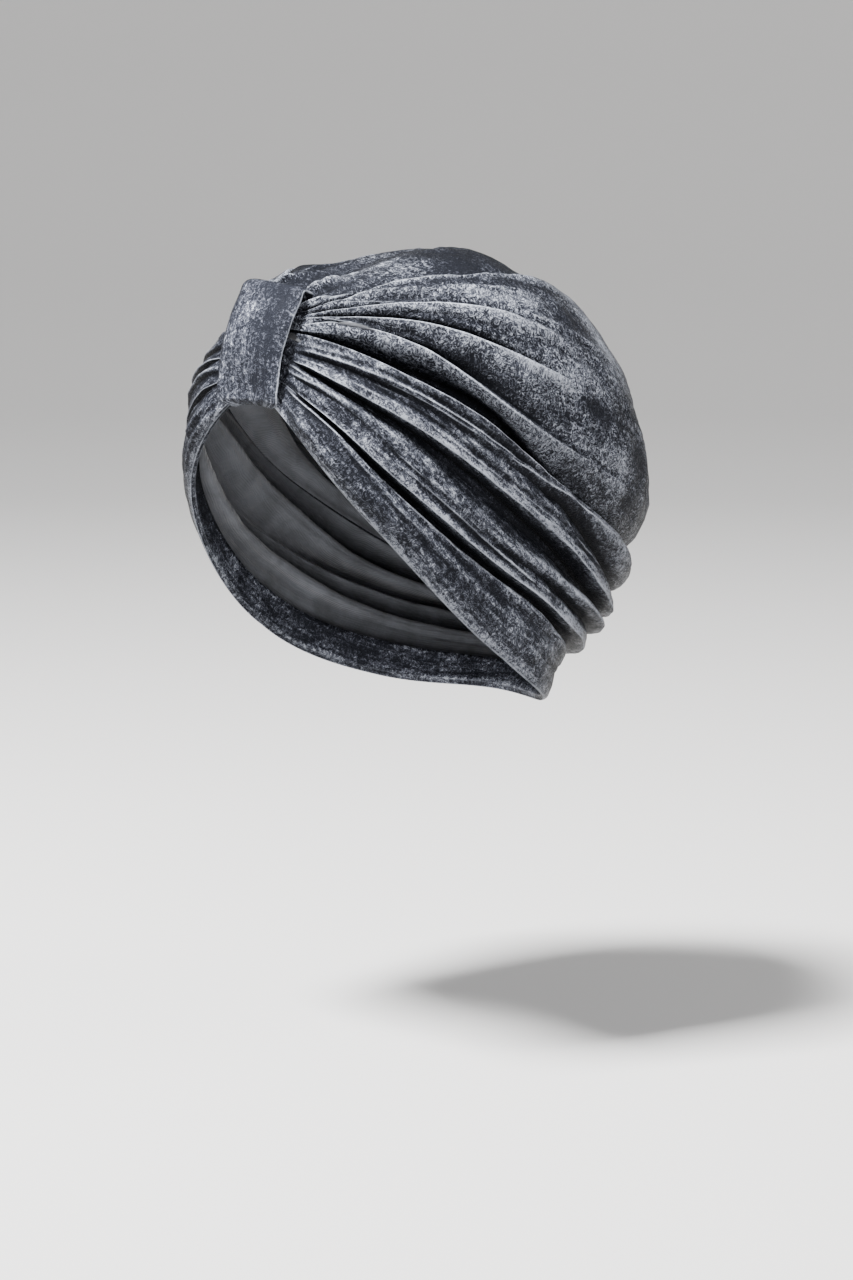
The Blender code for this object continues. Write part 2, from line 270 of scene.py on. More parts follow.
# How blunt the ends of a fine fold are, and how its sway goes on: with the way round, from one
# fold to the next and from side to side. Each piece has how far its own sway.
FINE_ENDS = 0.6
FINE_SWAYS = (17, 2.3, 1.7)
WRAP_WANDER = 0.35


def fine_folds(points, places, t, lines, side, wander):
    """Height of the fine folds on each point, a little different on the other side."""
    run = lengths(points, 0)
    place = np.maximum.accumulate(places, axis=0)
    height = np.zeros(places.shape)
    by_way, by_fold, by_side = FINE_SWAYS
    for k, (_, start, end, stations_at, high, above, below) in enumerate(lines):
        share = (t - start) / (end - start)
        on = np.where((share > 0) & (share < 1))[0]
        fade = np.sin(math.pi * np.clip(share, 0, 1)) ** FINE_ENDS
        sway = wander * np.sin(by_way * t + by_fold * k + by_side * side)
        for j in on:
            at = np.interp(np.interp(share[j], np.linspace(0, 1, len(stations_at)),
                                     stations_at), place[:, j], run[:, j])
            off = run[:, j] - at - sway[j]
            wide = np.where(off > 0, above, below)
            height[:, j] += high * fade[j] * np.exp(-((off / wide) ** 2))
    return height


# The small gathers that the loop makes: how many on each side, and between which turns. Chance
# gives each its place in its own part, its end on the way round, its drift in turns, its share of
# the depth and its width.
WRAP_GATHERS = (13, 6)
WRAP_GATHERED = (0.3, 5.3)
GATHER_PLACE = (0.1, 0.9)
GATHER_DEPTH = 0.6
GATHER_END = (0.09, 0.22)
GATHER_DRIFT = (-0.06, 0.06)
GATHER_SHARE = (0.5, 1.3)
GATHER_WIDE = (0.8, 1.7)
# Fine ridges and creases along the folds: how many on each side, and between which turns. Chance
# gives each its start, how far it runs, its drift in turns half way and at its end, its depth
# and its widths
WRAP_CREASES = (46, 14)
WRAP_CREASED = (0.2, 5.0)
CREASE_START = (0.04, 0.7)
CREASE_RUN = (0.12, 0.4)
CREASE_DRIFT = (-0.12, 0.12)
CREASE_END_DRIFT = (-0.25, 0.25)
CREASE_DEPTH = (0.25, 0.75)
CREASE_WIDE = (0.6, 1.6)
# Fine folds start over this much of the way round. They and the waves start over these rows of
# mesh, counted from the hem's raw edge, and end over these, counted back from the upper edge.
WRAP_DETAIL_START = (0.02, 0.05)
WRAP_DETAIL_LOW = (10, 16)
WRAP_DETAIL_TOP = (10, 4)
# Seeds of the gathers' chance and of the creases'
WRAP_CHANCE = (3, 21)


def gathers(count, low, high, seed):
    """Small creases that run out from the loop and fade on the way round."""
    chance = np.random.default_rng(seed)
    lines = []
    for k in range(count):
        place = low + (high - low) * (k + chance.uniform(*GATHER_PLACE)) / count
        end = chance.uniform(*GATHER_END)
        drift = chance.uniform(*GATHER_DRIFT)
        deep = -GATHER_DEPTH * chance.uniform(*GATHER_SHARE)
        wide = chance.uniform(*GATHER_WIDE)
        lines.append(("gather", 0.0, end, (place, place + drift), deep, wide, wide))
    return tuple(lines)


def creases(count, low, high, seed):
    """Fine ridges and about twice as many creases, each over its own part of the way round."""
    chance = np.random.default_rng(seed)
    lines = []
    for _ in range(count):
        start = chance.uniform(*CREASE_START)
        end = min(start + chance.uniform(*CREASE_RUN), 1.0)
        place = chance.uniform(low, high)
        way = (place, place + chance.uniform(*CREASE_DRIFT),
               place + chance.uniform(*CREASE_END_DRIFT))
        deep = chance.uniform(*CREASE_DEPTH) * chance.choice((-1, -1, 1))
        lines.append(("crease", start, end, way, deep, *chance.uniform(*CREASE_WIDE, 2)))
    return tuple(lines)


# Soft waves in the cloth: how fast the finer ones fade, how much finer each is than the last,
# and how many. The other side's are taken this far off in the same pattern. They fade towards
# the middle of the front and of the back. Each piece has a size and a height for its own.
WAVES = (1.0, 2.1, 3)
FAR_WAVES = 9
WAVES_FADE = 0.5
WRAP_WAVES = (14, 0.9)


def crumple(points, t, side, scale, height):
    """Soft uneven waves in the cloth, not the same on both sides."""
    far = Vector((FAR_WAVES * side, 0, 0))
    waves = [noise.fractal(Vector(point) / scale + far, *WAVES) for point in points.reshape(-1, 3)]
    waves = height * np.array(waves).reshape(points.shape[:2])
    return waves * np.sin(math.pi * t) ** WAVES_FADE


def wrap_half(t, side):
    """One side of the pleated wrap, as a grid of points: side is 1 for the wearer's right."""
    places, reliefs = fold_rows(WRAP_FOLDS, t)
    row = np.arange(len(places))[:, None]
    below, above = WRAP_DETAIL_TOP
    shown = eased(row, *WRAP_DETAIL_LOW)
    shown = shown * (1 - eased(row, len(places) - below, len(places) - above))
    fill = side * WRAP_FAR_FILL * (1 - eased(t, *WRAP_FAR_ENDS)) * shown
    reliefs = reliefs + fill * np.maximum(WRAP_FAR_LEVEL - reliefs, 0)
    even = np.minimum(np.maximum.accumulate(places, axis=0), WRAP_LAST_AWAY)
    away = outward(wrap_form(t, even + LEAST_STEP * row))
    points = swelled(wrap_form(t, places), away, reliefs, eased(t, *WRAP_SWELL))
    gathers_seed, creases_seed = WRAP_CHANCE
    lines = WRAP_LINES + gathers(WRAP_GATHERS[side], *WRAP_GATHERED, gathers_seed)
    lines += creases(WRAP_CREASES[side], *WRAP_CREASED, creases_seed + side)
    lines += WRAP_FAR_LINES if side else ()
    fine = fine_folds(points, places, t, lines, side, WRAP_WANDER) * eased(t, *WRAP_DETAIL_START)
    soft = crumple(points, t, side, *WRAP_WAVES)
    return points + away * ((fine + soft) * shown)[..., None]


def both_halves(half, t):
    """Both sides of a piece, which share the middle lines of the front and of the back."""
    left, right = half(t, 0), half(t, 1)
    right[..., 0] *= -1
    right[:, (0, -1)] = left[:, (0, -1)]
    return left, right


# Patches of the pile's brushing and of painted highlights and painted shade: where on the way
# round, the place in turns, how far each reaches both ways, and how much paler it is (darker
# below 0). Those of the wearer's right lie this much nearer to the front.
WRAP_BRUSHING_AND_LIGHT = (
    (0.16, 1.0, 0.12, 1.2, -0.7),
    (0.14, 3.2, 0.1, 1.4, -0.4),
    (0.33, 0.5, 0.12, 0.4, -0.8),
    (0.52, 0.6, 0.08, 0.5, 0.7),
    (0.49, 2.5, 0.08, 0.3, 0.5),
    (0.38, 2.8, 0.12, 0.35, -0.9),
    (0.42, 2.2, 0.06, 0.15, 0.8),
    (0.38, 4.05, 0.1, 0.3, 0.5),
    (0.3, 1.7, 0.1, 0.3, -0.4),
    (0.62, 4.5, 0.06, 0.5, 0.5),
    (0.64, 3.0, 0.05, 0.4, 0.3),
    (0.62, 1.7, 0.05, 0.4, 0.4),
    (0.76, 3.2, 0.06, 2.4, 0.3),
    (0.8, 2.4, 0.1, 0.8, -0.4),
    (0.95, 3.6, 0.1, 1.0, 0.5),
)
WRAP_FAR_NEARER = 0.06


def brushing_and_light_at(t, places, patches):
    """How pale the pile is at each point of a grid, from its brushing and from painted light and
    shade: patch by patch, soft at the rim.
    """
    pale = np.zeros(np.broadcast(t, places).shape)
    for at, place, long, wide, amount in patches:
        pale = pale + amount * np.exp(-(((t - at) / long) ** 2) - ((places - place) / wide) ** 2)
    return pale


# How far round a point the cloth is weighed, to tell its creases from its crests
AROUND = 7.0


def bend_of(points):
    """How sharply the cloth bends across its folds: above 0 on a crest, below in a crease."""
    run = lengths(points, 0)
    gap = ((run[2:] - run[:-2]) / 2) ** 2 + LEAST_GAP
    ahead = points[2:] - 2 * points[1:-1] + points[:-2]
    bend = np.zeros(points.shape[:2])
    bend[1:-1] = -(ahead * unit(crossed(points))[1:-1]).sum(-1) / gap
    return bend


def depth_of(points):
    """Height of each point over the cloth around it, in millimetres, and the slope there."""
    run = lengths(points, 0)
    share = np.gradient(run, axis=0)
    level = np.empty_like(points)
    for j in range(points.shape[1]):
        near = np.exp(-(((run[:, j, None] - run[None, :, j]) / AROUND) ** 2)) * share[:, j]
        level[:, j] = near @ points[:, j] / near.sum(1, keepdims=True)
    depth = ((points - level) * unit(crossed(level))).sum(-1)
    return depth, np.gradient(depth, axis=0) / (share + LEAST_GAP)


# From how sharp a fold on the cloth is pinched, and from how sharp on it is pinched most, what
# share of the wall is left there, and how many rows and columns of mesh round it are thinned too
SHARP = (0.3, 0.9)
PINCHED = 0.25
THINNED_ROWS = 3
THINNED_COLUMNS = 2


def wall_share(bend):
    """Share of the wall's thickness at each point: the cloth is pinched thin in a sharp fold."""
    sharp = np.pad(np.abs(bend), ((THINNED_ROWS,) * 2, (THINNED_COLUMNS,) * 2), mode="edge")
    high, wide = bend.shape
    sharpest = np.max([sharp[i:i + high, j:j + wide] for i in range(2 * THINNED_ROWS + 1)
                       for j in range(2 * THINNED_COLUMNS + 1)], axis=0)
    return 1 - (1 - PINCHED) * eased(sharpest, *SHARP)


# Points nearer to each other than this are one
SAME_POINT = 0.01 * MM


def woven(points, runs, values):
    """A grid of cloth from points in millimetres, with its flat map and its named values."""
    high, wide = points.shape[:2]
    bm = bmesh.new()
    lie = bm.loops.layers.uv.new("lie")
    layers = [bm.verts.layers.float.new(name) for name in values]
    bmesh.ops.create_grid(bm, x_segments=wide - 1, y_segments=high - 1, size=1)
    amounts = zip(*(value.flat for value in values.values()))
    for vert, place, row in zip(bm.verts, points.reshape(-1, 3) * MM, amounts):
        vert.co = place
        for layer, amount in zip(layers, row):
            vert[layer] = amount
    spots = np.stack(runs, -1).reshape(-1, 2) * MM
    for face in bm.faces:
        for corner in face.loops:
            corner[lie].uv = spots[corner.vert.index]
    return bm


def finished(name, bm, finishes):
    """The object that a bmesh describes, smooth, with its finishes."""
    mesh = bpy.data.meshes.new(name)
    bm.to_mesh(mesh)
    bm.free()
    mesh.shade_smooth()
    for finish in finishes:
        mesh.materials.append(finish)
    piece = bpy.data.objects.new(name, mesh)
    bpy.context.scene.collection.objects.link(piece)
    return piece


def cloth_piece(name, points, pale, flank, finishes):
    """A sheet of cloth from a grid of points in millimetres, with its pile on the outside.

    Painted shade: the side of a fold that comes first along the grid is painted darker, or where
    flank is -1 the side that comes last.
    """
    high, wide = points.shape[:2]
    bend = bend_of(points)
    depth, slope = depth_of(points)
    bm = woven(points, (lengths(points, 1), lengths(points, 0)),
               {"crest": bend, "depth": depth, "brushing_and_light": pale, "tilt": flank * slope})
    thickness = bm.verts.layers.deform.new()
    for vert, share in zip(bm.verts, wall_share(bend).flat):
        vert[thickness][0] = share
    bm.normal_update()
    bm.faces.ensure_lookup_table()
    face = bm.faces[high // 2 * (wide - 1) + wide // 4]
    if face.normal.dot(face.calc_center_median()) < 0:
        bmesh.ops.reverse_faces(bm, faces=bm.faces)
    bmesh.ops.remove_doubles(bm, verts=bm.verts, dist=SAME_POINT)
    piece = finished(name, bm, finishes)
    piece.vertex_groups.new(name="wall")
    thick = piece.modifiers.new("Wall", "SOLIDIFY")
    thick.thickness = WALL
    thick.vertex_group = "wall"
    thick.offset = -1
    thick.material_offset = len(finishes) - 1
    return piece


def link(tree, source, socket):
    """Joins an output to an input, or sets the input's own value."""
    if isinstance(source, bpy.types.NodeSocket):
        tree.links.new(source, socket)
    else:
        socket.default_value = source


def mix(tree, how, factor, first, second):
    """One colour or value laid over another."""
    node = tree.nodes.new("ShaderNodeMix")
    node.data_type = "RGBA"
    node.blend_type = how
    link(tree, factor, node.inputs["Factor"])
    link(tree, first, node.inputs[6])
    link(tree, second, node.inputs[7])
    return node.outputs[2]


def maths(tree, how, first, second=0.0):
    """One sum on two values."""
    node = tree.nodes.new("ShaderNodeMath")
    node.operation = how
    link(tree, first, node.inputs[0])
    link(tree, second, node.inputs[1])
    return node.outputs[0]


def weighed(tree, first, *parts):
    """A value and its parts, each of them a value and its weight, added up."""
    total = first
    for part, weight in parts:
        total = maths(tree, "ADD", total, maths(tree, "MULTIPLY", part, weight))
    return total


def ramped(tree, value, low, high, to_low=0.0, to_high=1.0):
    """A value between two limits, smooth at both ends."""
    node = tree.nodes.new("ShaderNodeMapRange")
    node.interpolation_type = "SMOOTHSTEP"
    for socket, number in zip(node.inputs[1:5], (low, high, to_low, to_high)):
        socket.default_value = number
    link(tree, value, node.inputs[0])
    return node.outputs[0]


def grain(tree, place, scale, detail, rough, distortion):
    """Uneven pattern at this many repeats to the metre."""
    node = tree.nodes.new("ShaderNodeTexNoise")
    link(tree, place, node.inputs["Vector"])
    for socket, number in (("Scale", scale), ("Detail", detail), ("Roughness", rough),
                           ("Distortion", distortion)):
        node.inputs[socket].default_value = number
    return node.outputs["Fac"]


def grey(tree, value):
    """One value as a colour."""
    node = tree.nodes.new("ShaderNodeCombineColor")
    for socket in node.inputs:
        link(tree, value, socket)
    return node.outputs[0]


def carried(tree, name):
    """A value that the cloth carries at each of its points."""
    node = tree.nodes.new("ShaderNodeAttribute")
    node.attribute_name = name
    return node.outputs["Fac"]


def along_cloth(tree):
    """The cloth's own flat map: the way along its folds and the way across them."""
    node = tree.nodes.new("ShaderNodeUVMap")
    node.uv_map = "lie"
    return node.outputs[0]


def raised(tree, height, strength, rise):
    """Relief that is finer than the mesh."""
    node = tree.nodes.new("ShaderNodeBump")
    node.inputs["Strength"].default_value = strength
    node.inputs["Distance"].default_value = rise
    link(tree, height, node.inputs["Height"])
    return node.outputs[0]


def new_finish(name, settings):
    """A finish without its patterns, and what they are built on."""
    finish = bpy.data.materials.new(name)
    finish.use_nodes = True
    shader = finish.node_tree.nodes["Principled BSDF"]
    for socket, value in settings:
        shader.inputs[socket].default_value = value
    return finish, finish.node_tree, shader


# The velvet's colours: pile seen end on, pile leaning over, pile lying flat and the painted
# highlight on the sharp crest of a fold
PILE_DEEP = (0.008, 0.0088, 0.0122, 1.0)
PILE_LEAN = (0.056, 0.06, 0.076, 1.0)
PILE_FLAT = (0.31, 0.33, 0.38, 1.0)
PILE_HIGHLIGHT = (0.44, 0.47, 0.54, 1.0)
PILE_SETTINGS = (
    ("Metallic", 0.0),
    ("Specular IOR Level", 0.05),
    ("Sheen Weight", 0.007),
    ("Sheen Roughness", 0.3),
    ("Sheen Tint", (0.86, 0.9, 1.0, 1.0)),
)
# Patterns in the pile: repeats to the metre, detail, roughness and distortion
PILE_PATCHES = (34, 2.0, 0.5, 0.8)
PILE_MOTTLE = (230, 3.0, 0.6, 1.4)
PILE_CURLS = (300, 1.0, 0.5, 2.6)
PILE_SPECKS = (800, 2.0, 0.6, 1.0)
PILE_STREAKS = (400, 3.0, 0.6, 0.6)
# The streaks have this share of their repeats along the folds
DRAWN_OUT = 0.14
PILE_RISE = 0.9 * MM
PILE_STRENGTH = 0.8
# Each piece's velvet: how pale it is, how curly and how streaked
WRAP_PILE = (1.2, 0.34, 0.27)


def crushed_velvet(name, level, curly, streaked):
    """Stretch velvet whose pile is crushed in small curls, and in streaks along its folds."""
    finish, tree, shader = new_finish(name, PILE_SETTINGS)
    place = tree.nodes.new("ShaderNodeTexCoord").outputs["Object"]
    drawn = tree.nodes.new("ShaderNodeMapping")
    drawn.inputs["Scale"].default_value = (DRAWN_OUT, 1.0, 1.0)
    link(tree, along_cloth(tree), drawn.inputs["Vector"])
    patches = grain(tree, place, *PILE_PATCHES)
    mottle = grain(tree, place, *PILE_MOTTLE)
    curls = grain(tree, place, *PILE_CURLS)
    specks = grain(tree, place, *PILE_SPECKS)
    streaks = grain(tree, drawn.outputs[0], *PILE_STREAKS)
    # A curl's line runs where its pattern crosses one half
    curled = maths(tree, "ABSOLUTE", maths(tree, "SUBTRACT", curls, 0.5))
    curled = ramped(tree, curled, 0.01, 0.09, 1.0, 0.0)

    # How flat the pile lies: by its patterns; then painted shade and light, darker deep in a fold,
    # paler on its crest and darker on one flank of it; then the patches of brushing and of painted
    # light and shade
    lie = maths(tree, "MULTIPLY", curled, curly)
    lie = weighed(tree, lie, (ramped(tree, mottle, 0.4, 0.62), 0.26),
                  (ramped(tree, specks, 0.42, 0.58), 0.24),
                  (ramped(tree, streaks, 0.4, 0.6), streaked),
                  (ramped(tree, patches, 0.35, 0.68), 0.2))
    depth = carried(tree, "depth")
    lie = maths(tree, "ADD", lie, ramped(tree, depth, -1.6, 2.2, -0.46, 0.2))
    # Painted shade on one flank of each fold
    lie = maths(tree, "ADD", lie, ramped(tree, carried(tree, "tilt"), -0.5, 0.7, 0.1, -0.26))
    # The patches of brushing and of painted light and shade
    lie = weighed(tree, lie, (carried(tree, "brushing_and_light"), 0.22))

    # Its colour, and a painted highlight along the crests of the sharpest folds
    edge = ramped(tree, carried(tree, "crest"), 0.28, 0.95)
    edge = maths(tree, "MULTIPLY", edge, ramped(tree, lie, 0.3, 0.95, 0.42, 0.95))
    colour = mix(tree, "MIX", ramped(tree, lie, 0.16, 0.7), PILE_DEEP, PILE_LEAN)
    colour = mix(tree, "MIX", ramped(tree, lie, 0.6, 1.12), colour, PILE_FLAT)
    colour = mix(tree, "MIX", edge, colour, PILE_HIGHLIGHT)

    # Painted shade: the colour is darker in a hollow and where the cloth faces down, as if lit
    # from above. A painted sheen from Layer Weight darkens the colour where the pile is seen at a
    # slant.
    hollow = ramped(tree, depth, -2.6, -0.3, 0.25, 1.0)
    seen = tree.nodes.new("ShaderNodeLayerWeight")
    seen.inputs["Blend"].default_value = 0.35
    painted_sheen = ramped(tree, seen.outputs["Facing"], 0.3, 0.95, 1.08, 0.35)
    faces = tree.nodes.new("ShaderNodeSeparateXYZ")
    link(tree, tree.nodes.new("ShaderNodeNewGeometry").outputs["Normal"], faces.inputs[0])
    # Painted shade where the cloth faces down
    under = ramped(tree, faces.outputs["Z"], -0.7, 0.5, 0.36, 1.12)
    shaded = maths(tree, "MULTIPLY", hollow, maths(tree, "MULTIPLY", painted_sheen, under))
    shaded = maths(tree, "MULTIPLY", shaded, level)
    link(tree, mix(tree, "MULTIPLY", 1.0, colour, grey(tree, shaded)), shader.inputs["Base Color"])
    link(tree, ramped(tree, lie, 0.1, 0.9, 0.55, 0.36), shader.inputs["Roughness"])
    relief = weighed(tree, mottle, (curled, 0.35), (specks, 0.4), (streaks, 3 * streaked))
    link(tree, raised(tree, relief, PILE_STRENGTH, PILE_RISE), shader.inputs["Normal"])
    return finish


# The knit on the velvet's inner side: its colour, the repeats of its ribs to the metre, its
# uneven wear and its relief
KNIT_COLOUR = (0.06, 0.063, 0.072, 1.0)
KNIT_SETTINGS = (("Roughness", 0.85), ("Specular IOR Level", 0.25), ("Sheen Weight", 0.3))
KNIT_RIBS = (("Scale", 260), ("Distortion", 1.4), ("Detail", 1.0))
KNIT_WEAR = (60, 4, 0.6, 0.4)
KNIT_RISE = 0.3 * MM
KNIT_STRENGTH = 0.35


def knit_back(name):
    """The velvet's inner side: a plain fine knit without pile."""
    finish, tree, shader = new_finish(name, KNIT_SETTINGS)
    ribs = tree.nodes.new("ShaderNodeTexWave")
    ribs.bands_direction = "Y"
    for socket, number in KNIT_RIBS:
        ribs.inputs[socket].default_value = number
    link(tree, along_cloth(tree), ribs.inputs["Vector"])
    worn = grain(tree, tree.nodes.new("ShaderNodeTexCoord").outputs["Object"], *KNIT_WEAR)
    worn = grey(tree, ramped(tree, worn, 0.3, 0.7, 0.75, 1.25))
    link(tree, mix(tree, "MULTIPLY", 1.0, KNIT_COLOUR, worn), shader.inputs["Base Color"])
    relief = raised(tree, ribs.outputs["Fac"], KNIT_STRENGTH, KNIT_RISE)
    link(tree, relief, shader.inputs["Normal"])
    return finish


t = stations(WRAP_COLUMNS)
places = fold_rows(WRAP_FOLDS, t)[0]
wrap_points = joined(*both_halves(wrap_half, t), 1)
wrap_pale = joined(brushing_and_light_at(t, places, WRAP_BRUSHING_AND_LIGHT),
                   brushing_and_light_at(t + WRAP_FAR_NEARER, places, WRAP_BRUSHING_AND_LIGHT), 1)
wrap_velvet = crushed_velvet("slate crushed velvet, wrap", *WRAP_PILE)
backing = knit_back("slate knit backing")
pleated_wrap = cloth_piece("pleated_wrap_velvet", wrap_points, wrap_pale, 1,
                           (wrap_velvet, backing))
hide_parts("pleated_wrap")
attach(pleated_wrap, "root")


# Crown. The same velvet, cut wide and gathered into the loop, so that it stands up in folds
# that fan back over the top and fade into a smooth puffed back. Its lower edge goes in behind
# the wrap's upper edge and is stitched there.

# Heights over the top from the loop to the back, how far back the crown reaches, and the radius
# of its edge where it comes up out of the loop
TOP_HEIGHTS = (83, 80.5, 87, 97, 102, 92, 69, 39, 8)
TOP_BACK = 140.0
TOP_EDGE = 3.2
# How full the crown's side is from front to back: below 1 is fuller
CROWN_ROUND = (0.55, 0.65, 1.0, 1.1, 1.1)
# Degrees of the crown's rise to a turn, counted on from its fullest turn up to the last
DEGREES = 15
FULLEST_TURN = 6
LAST_TURN = 12
# How far back the crown's underside changes from straight to round
UNDERSIDE = (0.45, 0.7)
# Lines along the crown from its hidden lower edge up, as for the wrap
CROWN_FOLDS = (
    ("lower edge", 3, (3.9, 4.1, 4.2, 4.2, 4.05, 4.0, 4.0, 4.1, 4.1),
     (-1.9, -0.4, 1.4, 2.2, 1.0, -2.6, -3.6, -2.8, -2.6)),
    ("seam", 2, (4.9, 4.75, 4.7, 4.7, 4.5, 4.45, 4.5, 4.6, 4.66),
     (-1.9, 0.2, 0.8, 1.6, 2.2, 0.6, -1.4, -1.4, -1.4)),
    ("behind the wrap", 3, (5.5, 5.2, 4.98, 5.05, 4.8, 4.7, 4.75, 4.85, 4.85),
     (-2.2, -2, -4.5, -5.5, -0.5, 0.5, -1, -1, -1)),
    ("hollow", 3, (5.62, 5.56, 5.52, 5.5, 5.1, 4.84, 4.9, 4.97, 5.0),
     (-1.5, -3, -6.5, -7.5, -2.5, 1, 0, -0.5, -1)),
    ("lip's lower edge", 7, (5.66, 5.62, 5.6, 5.58, 5.26, 4.98, 5.0, 5.08, 5.1),
     (1, 2.2, 3.2, 3.2, 2.8, 3.0, 2.8, 2.5, 2.5)),
    ("lip", 3, (5.76, 5.95, 5.94, 5.8, 5.78, 5.65, 5.45, 5.45, 5.45),
     (2, 4.5, 6.5, 6.5, 5.5, 3.5, 1.6, 2, 2)),
    ("over the lip", 12, (5.84, 6.01, 6.0, 5.86, 5.85, 5.8, 5.95, 5.95, 5.95),
     (0.5, 2, 2.2, 2.4, 3.8, 2.6, -0.8, 0.5, 0.5)),
    ("fold 4", 3, (6.1, 6.42, 6.87, 6.93, 7.05, 7.1, 7.1, 7.1, 7.1),
     (2, 4, 5.5, 5.5, 2.6, 1.8, -1, 0, 0)),
    ("over fold 4", 14, (6.2, 6.5, 6.93, 6.99, 7.13, 7.2, 7.2, 7.2, 7.2),
     (0.5, 1.8, 1.6, 1.4, 2.4, 1.8, -1, 0, 0)),
    ("fold 3", 3, (6.5, 7.05, 7.87, 8.04, 8.06, 8.2, 8.2, 8.2, 8.2),
     (2, 4, 5.5, 5.5, 3, 1.5, -0.8, 0, 0)),
    ("over fold 3", 16, (6.6, 7.15, 7.94, 8.11, 8.16, 8.3, 8.3, 8.3, 8.3),
     (0.5, 1.5, 1.2, 1.4, 2.8, 1.5, -0.8, 0, 0)),
    ("fold 2", 3, (6.95, 8.1, 9.5, 9.55, 9.65, 9.8, 9.8, 9.8, 9.8),
     (2, 4, 5, 5, 4.4, 1.6, -0.8, 0, 0)),
    ("over fold 2", 16, (7.1, 8.22, 9.58, 9.63, 9.73, 9.9, 9.9, 9.9, 9.9),
     (0.5, 1, 0.6, 0, -2.6, -3.4, -1.5, 0, 0)),
    ("fold 1", 3, (8.5, 10.9, 11.3, 11.35, 11.35, 11.4, 11.4, 11.4, 11.4),
     (1.5, 5, 5.5, 4.2, 1, -4, -1.5, 0, 0)),
    ("over fold 1", 9, (8.7, 11.0, 11.4, 11.45, 11.45, 11.5, 11.5, 11.5, 11.5),
     (0.5, 3.6, 3.6, 2.2, -1, -4.5, -2, 0, 0)),
    ("top", 0, (12,) * 9, (0, 0, 0, 0.4, -1, -4.5, -2, 0, 0)),
)
# Fine folds of both sides, and those of the wearer's right alone
CROWN_LINES = (
    ("end of fold 2's root", 0.05, 0.22, (7.9, 8.87, 9.9), 1.4, 2.0, 0.9),
    ("shelf over fold 4", 0.2, 0.5, (7.3, 7.45, 7.4, 7.5), -0.8, 2.0, 2.0),
    ("fold 3's end", 0.38, 0.62, (8.5, 8.3, 8.2, 8.1), 1.0, 3.0, 1.2),
    ("over the end of fold 3", 0.34, 0.56, (7.55, 7.65, 7.7), -0.9, 1.8, 1.8),
    ("back hollow", 0.56, 0.95, (7.0, 7.6, 8.4, 9.0), -1.2, 9.0, 9.0),
    ("back swell", 0.66, 0.95, (10.4, 10.0, 9.6), 1.2, 10.0, 8.0),
    ("crumple 1", 0.02, 0.17, (10.2, 10.6, 11.0), 1.8, 1.6, 1.2),
    ("crumple 2", 0.02, 0.2, (11.1, 11.6, 11.9), 1.5, 1.5, 1.3),
    ("crumple 3", 0.02, 0.15, (9.0, 9.3), 1.5, 1.3, 1.1),
    ("crumple 4", 0.02, 0.12, (8.0, 8.1), -1.2, 1.2, 1.2),
    ("crumple 5", 0.08, 0.3, (10.4, 11.2, 11.7), 2.6, 2.4, 1.8),
    ("crumple 6", 0.1, 0.26, (9.9, 10.6, 11.0), -1.6, 1.6, 1.6),
)
CROWN_FAR_LINES = (
    ("far hollow", 0.3, 0.5, (10.9, 10.9), -6.5, 13, 14),
    ("far shoulder", 0.2, 0.35, (9.3, 9.6), -3.2, 9, 9),
)
CROWN_WANDER = 0.4
# Patches of brushing and of painted light and shade, of the wearer's left, and of the right
CROWN_BRUSHING_AND_LIGHT = (
    (0.28, 11.6, 0.05, 0.35, 1.2),
    (0.44, 11.0, 0.12, 0.7, -2.0),
    (0.4, 10.1, 0.06, 0.5, -1.6),
    (0.33, 10.7, 0.04, 0.4, 1.4),
    (0.38, 9.25, 0.13, 0.2, -2.4),
    (0.42, 8.75, 0.07, 0.35, 1.5),
    (0.52, 8.6, 0.05, 0.2, -1.8),
    (0.6, 8.8, 0.04, 0.8, 2.2),
    (0.44, 6.8, 0.08, 0.4, 1.6),
    (0.5, 7.6, 0.1, 0.6, 1.0),
    (0.515, 6.76, 0.026, 0.24, -3.2),
    (0.565, 5.9, 0.035, 0.4, 1.8),
    (0.63, 6.1, 0.03, 0.7, -1.5),
    (0.3, 6.15, 0.1, 0.12, -0.6),
    (0.2, 7.5, 0.09, 2.0, -0.5),
    (0.16, 10.5, 0.1, 1.6, -1.0),
    (0.66, 8.4, 0.05, 1.0, 1.4),
    (0.7, 6.6, 0.05, 0.6, 1.2),
    (0.8, 9.0, 0.07, 1.2, 0.6),
    (0.9, 7.4, 0.08, 0.9, -0.9),
)
CROWN_FAR_BRUSHING_AND_LIGHT = (
    (0.28, 11.2, 0.1, 0.9, -2.2),
    (0.5, 8.4, 0.07, 0.9, 1.0),
    (0.62, 6.6, 0.05, 0.5, -1.2),
    (0.4, 6.6, 0.07, 0.4, 0.6),
    (0.75, 9.6, 0.08, 1.0, -0.9),
    (0.85, 7.0, 0.09, 0.9, 0.8),
)
# Its gathers and creases: how many on each side, between which turns, and their seeds
CROWN_GATHERS = 14
CROWN_GATHERED = (5.9, 11.0)
CROWN_CREASES = 34
CROWN_CREASED = (5.5, 9.5)
CROWN_CHANCE = (5, 31)
# Its folds swell out over this much of the way round, and its fine folds start over this much.
# They and the waves start over these rows of mesh, and fade out over these turns at the top.
CROWN_SWELL = (0.04, 0.14)
CROWN_DETAIL_START = (0.03, 0.07)
CROWN_DETAIL_LOW = (10, 14)
CROWN_LINES_TOP = (11.4, LAST_TURN)
CROWN_WAVES_TOP = (11.2, LAST_TURN)
CROWN_WAVES = (18, 1.0)
CROWN_COLUMNS = 236
CROWN_PILE = (1.28, 0.56, 0.12)


